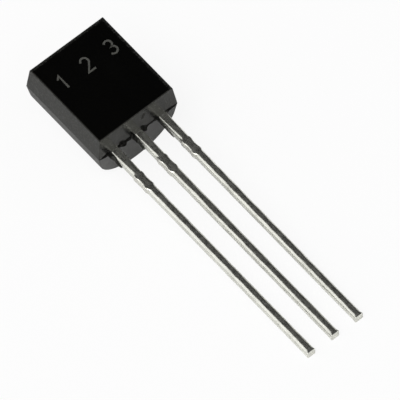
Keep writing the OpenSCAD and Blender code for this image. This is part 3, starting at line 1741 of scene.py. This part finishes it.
@dataclass
class PinNumerals:
    """Plain numerals 1, 2 and 3 in a row, one above each lead.

    Attributes:
        pitch: Distance between them.
        height: Height of a numeral.
        width: Width of a numeral.
        stroke: Width of its strokes.
        thickness: How far it stands out of the flat.
        baseline: Y of its foot.
        surface: Z of the flat.
        sunk: How far inside the moulding it starts.
        sharpest: Cosine of the half turn past which a corner's mitre grows no further.
    """

    pitch: float = LEAD_PITCH
    height: float = 0.70
    width: float = 0.40
    stroke: float = 0.085
    thickness: float = 0.010
    baseline: float = 2.88
    surface: float = 1.44
    sunk: float = 0.02
    sharpest: float = 0.5

    def strokes(self) -> tuple[list[Pair], ...]:
        """Centre lines of the three numerals, in a box of 1 by 1.

        Returns:
            The lines of 1, 2 and 3.
        """
        one = [(0.2, 0.78), (0.56, 1.0), (0.56, 0.0)]
        two = arc_points((0.5, 0.72), (0.44, 0.28), 165, -28, 16)
        two += [(0.06, 0.0), (0.98, 0.0)]
        three = arc_points((0.48, 0.75), (0.42, 0.25), 150, -90, 16)
        three += arc_points((0.48, 0.26), (0.47, 0.26), 90, -150, 18)[1:]
        return one, two, three

    def ribbon(self, skin: Skin, stroke: Sequence[Pair], corner: Pair) -> None:
        """Sweeps one stroke into a thin closed ribbon.

        Args:
            skin: Collects the faces.
            stroke: The centre line, in a box of 1 by 1.
            corner: The box's lower left corner, in millimetres.
        """
        line = [
            Vector((corner[0] + x * self.width, corner[1] + y * self.height)) for x, y in stroke
        ]
        low, high = self.surface - self.sunk, self.surface + self.thickness
        sections = []
        for i, here in enumerate(line):
            before = (here - line[i - 1]).normalized() if i else None
            after = (line[i + 1] - here).normalized() if i + 1 < len(line) else None
            ahead = ((before or after) + (after or before)).normalized()
            side = Vector((-ahead.y, ahead.x))
            lean = max(self.sharpest, side.dot(Vector((-(before or after).y, (before or after).x))))
            left, right = (here + side * (self.stroke / 2 / lean * hand) for hand in (1, -1))
            edges = ((left, low), (left, high), (right, high), (right, low))
            sections.append([(edge.x, edge.y, z) for edge, z in edges])
        skin.tube(sections)

    def build(self, frame: PackageFrame) -> bpy.types.Object:
        """Makes the numerals.

        Args:
            frame: Where the package lies.

        Returns:
            The piece, not yet dressed.
        """
        skin = Skin()
        for place, stroke in zip((-1, 0, 1), self.strokes()):
            corner = (place * self.pitch - self.width / 2, self.baseline)
            self.ribbon(skin, stroke, corner)
        return skin.piece("pin_numerals", frame)


# ---------------------------------------------------------------- studio


@dataclass(frozen=True)
class Softbox:
    """A large soft lamp that faces the object.

    Attributes:
        name: Its name.
        azimuth: Degrees round the object, 0 before the lead tips.
        elevation: Degrees above the horizon.
        distance: Its distance from the object, in metres.
        width: Its width, in metres.
        height: Its height, in metres.
        radiance: How bright its face is.
    """

    name: str
    azimuth: float
    elevation: float
    distance: float
    width: float
    height: float
    radiance: float

    def build(self) -> None:
        """Adds the lamp, which the camera itself doesn't see."""
        lamp = bpy.data.lights.new(self.name, "AREA")
        lamp.shape = "RECTANGLE"
        lamp.size, lamp.size_y = self.width, self.height
        lamp.energy = self.radiance * math.pi * self.width * self.height
        holder = linked(self.name, lamp)
        back = towards(self.azimuth, self.elevation)
        holder.location = back * self.distance
        holder.rotation_euler = (-back).to_track_quat("-Z", "Y").to_euler()
        holder.visible_camera = False


@dataclass(frozen=True)
class Studio:
    """Pale sweep, dim surroundings above it and soft lamps at its sides.

    Attributes:
        white: Level of the surroundings at the horizon.
        floor_colour: The floor's colour where light falls on it.
        floor_glow: Level of its plain white.
        shadow_share: Share of the lit floor, with its shadow, that the camera sees.
        glossy_share: Share of the plain white that mirrored rays see.
        floor_radius: The floor's radius, in metres.
        floor_sides: Its number of sides.
        above: Level of the surroundings overhead.
        fade: Sines of the elevations between which they turn dim.
        lamps: The lamps.
    """

    white: float = 0.965
    floor_colour: Colour = (0.86, 0.86, 0.86)
    floor_glow: float = 1.0
    shadow_share: float = 0.12
    glossy_share: float = 0.12
    floor_radius: float = 3.0
    floor_sides: int = 96
    above: float = 0.032
    fade: Pair = (0.08, 0.55)
    lamps: tuple[Softbox, ...] = (
        Softbox("softbox_left", -116.0, 46.0, 0.7, 0.75, 1.0, 1.0),
        Softbox("softbox_high", -48.0, 56.0, 0.7, 0.5, 0.5, 4.2),
        Softbox("softbox_front", 30.0, 36.0, 0.7, 0.7, 0.6, 0.9),
    )

    def floor(self) -> None:
        """Adds the floor, which shows white and keeps a share of the object's shadow."""
        mesh = bpy.data.meshes.new("floor")
        shape = bmesh.new()
        bmesh.ops.create_circle(
            shape, cap_ends=True, segments=self.floor_sides, radius=self.floor_radius
        )
        shape.to_mesh(mesh)
        shape.free()
        floor = linked("floor", mesh)
        material, graph = new_material("pale_floor")
        rays = graph.add("ShaderNodeLightPath").outputs
        camera, through, mirrored = (
            Term(graph, rays[f"Is {kind} Ray"]) for kind in ("Camera", "Transmission", "Glossy")
        )
        direct = camera.highest(through) * (1 - self.shadow_share)
        seen = direct.highest(mirrored * self.glossy_share)
        matte = graph.add("ShaderNodeBsdfDiffuse", None, {"Color": (*self.floor_colour, 1.0)})
        glow = graph.add("ShaderNodeEmission", None, {"Strength": self.floor_glow})
        mixed = {0: seen, 1: matte.outputs[0], 2: glow.outputs[0]}
        graph.surface(graph.add("ShaderNodeMixShader", None, mixed))
        mesh.materials.append(material)

    def surroundings(self) -> None:
        """Fills the world: white up to just over the horizon, then dim."""
        world = bpy.data.worlds.new("surroundings")
        world.use_nodes = True
        bpy.context.scene.world = world
        graph = Graph(world.node_tree)
        direction = graph.add("ShaderNodeTexCoord").outputs["Generated"]
        _, _, up = graph.axes(direction)
        shade = graph.blend(up.ramp(*self.fade), (self.white,) * 3, (self.above,) * 3)
        background = graph.add("ShaderNodeBackground", None, {"Color": shade, "Strength": 1.0})
        graph.add("ShaderNodeOutputWorld", None, {"Surface": background.outputs[0]})

    def build(self) -> None:
        """Builds floor, surroundings and lamps, and keeps colours as they are."""
        self.floor()
        self.surroundings()
        for lamp in self.lamps:
            lamp.build()
        bpy.context.scene.view_settings.view_transform = "Standard"


def towards(azimuth: float, elevation: float) -> Vector:
    """Direction from the object to a viewpoint.

    Args:
        azimuth: Degrees round the object, 0 before the lead tips and 90 on their right.
        elevation: Degrees above the horizon.

    Returns:
        A unit vector.
    """
    a, e = math.radians(azimuth), math.radians(elevation)
    return Vector((math.sin(a) * math.cos(e), -math.cos(a) * math.cos(e), math.sin(e)))


@dataclass(frozen=True)
class ProductCamera:
    """A long lens that looks down on the flat from the collector's side.

    Attributes:
        azimuth: Degrees round the object, 0 before the lead tips.
        elevation: Degrees above the horizon.
        roll: Turn round the direction of view, in degrees.
        distance: Distance from the aim, in metres.
        frame_width: Width of the view at the aim, in metres.
        aim: The point at the view's middle, in metres.
    """

    azimuth: float = -30.3330
    elevation: float = 52.9553
    roll: float = -11.4624
    distance: float = 0.714286
    frame_width: float = 0.01637474
    aim: Point = (0.00035421, 0.00060852, 0.00030558)

    def build(self) -> None:
        """Adds the camera and makes it the scene's."""
        data = bpy.data.cameras.new("product_camera")
        camera = linked("product_camera", data)
        data.lens = data.sensor_width * self.distance / self.frame_width
        data.clip_start, data.clip_end = self.distance / 10, self.distance * 10
        back = towards(self.azimuth, self.elevation)
        level = (-back).to_track_quat("-Z", "Y")
        camera.location = Vector(self.aim) + back * self.distance
        camera.rotation_mode = "QUATERNION"
        camera.rotation_quaternion = level @ Matrix.Rotation(
            math.radians(self.roll), 3, "Z"
        ).to_quaternion()
        bpy.context.scene.camera = camera


# ---------------------------------------------------------------- assembly


@dataclass
class Transistor:
    """The whole part: moulding, three leads, numerals and the pieces sealed in the moulding.

    Attributes:
        body: The moulding.
        numerals: The numerals.
        pitch: Distance between the leads, in millimetres.
    """

    body: MouldedBody = field(default_factory=MouldedBody)
    numerals: PinNumerals = field(default_factory=PinNumerals)
    pitch: float = LEAD_PITCH

    def leads(self) -> tuple[Lead, ...]:
        """The three leads, from left to right when the flat faces the reader.

        Returns:
            Collector, base and emitter lead.
        """
        return (
            Lead("lead_collector", "collector_lead", -self.pitch, InnerEnd.PADDLE),
            Lead("lead_base", "base_lead", 0.0, InnerEnd.POST),
            Lead("lead_emitter", "emitter_lead", self.pitch, InnerEnd.POST, lean=-0.1),
        )

    def inner_pieces(self) -> dict[str, InnerFinish]:
        """Finish of each CAD node that stays as it is.

        Returns:
            The finish by node name.
        """
        return {
            "silicon_die": SILICON,
            "die_attach": SILVER_EPOXY,
            "base_bond_wire": GOLD,
            "emitter_bond_wire": GOLD,
        }

    def build(self, frame: Mapping[str, Any]) -> None:
        """Builds and dresses every piece.
        """
        flat = self.body.parting + self.body.front_depth
        package = PackageFrame.from_record(frame["record"], self.body.height, flat)
        compound = MouldingCompound().material(package)
        report(dress(self.body.build(package), compound, Slot.COMPOUND, "moulded_body"))
        tin = TinnedLead().material(package)
        for lead in self.leads():
            report(dress(lead.build(package), tin, Slot.TIN, lead.node))
        mark = LaserMark().material(package)
        report(dress(self.numerals.build(package), mark, Slot.COMPOUND))
        inner = {finish: finish.material(package) for finish in (SILICON, SILVER_EPOXY, GOLD)}
        for node, finish in self.inner_pieces().items():
            piece = frame["nodes"][node]
            piece.data.materials.clear()
            piece.data.materials.append(inner[finish])
            report(piece)


def report(piece: bpy.types.Object) -> None:
    """Logs a piece's name and mesh size."""
    LOG.info("%s: %d faces", piece.name, len(piece.data.polygons))


def main() -> None:
    """Loads the frame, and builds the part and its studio."""
    logging.basicConfig(level=logging.INFO, format="%(name)s: %(message)s")
    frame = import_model()
    ProductCamera().build()
    Transistor().build(frame)
    Studio().build()


if __name__ == "__main__":
    main()
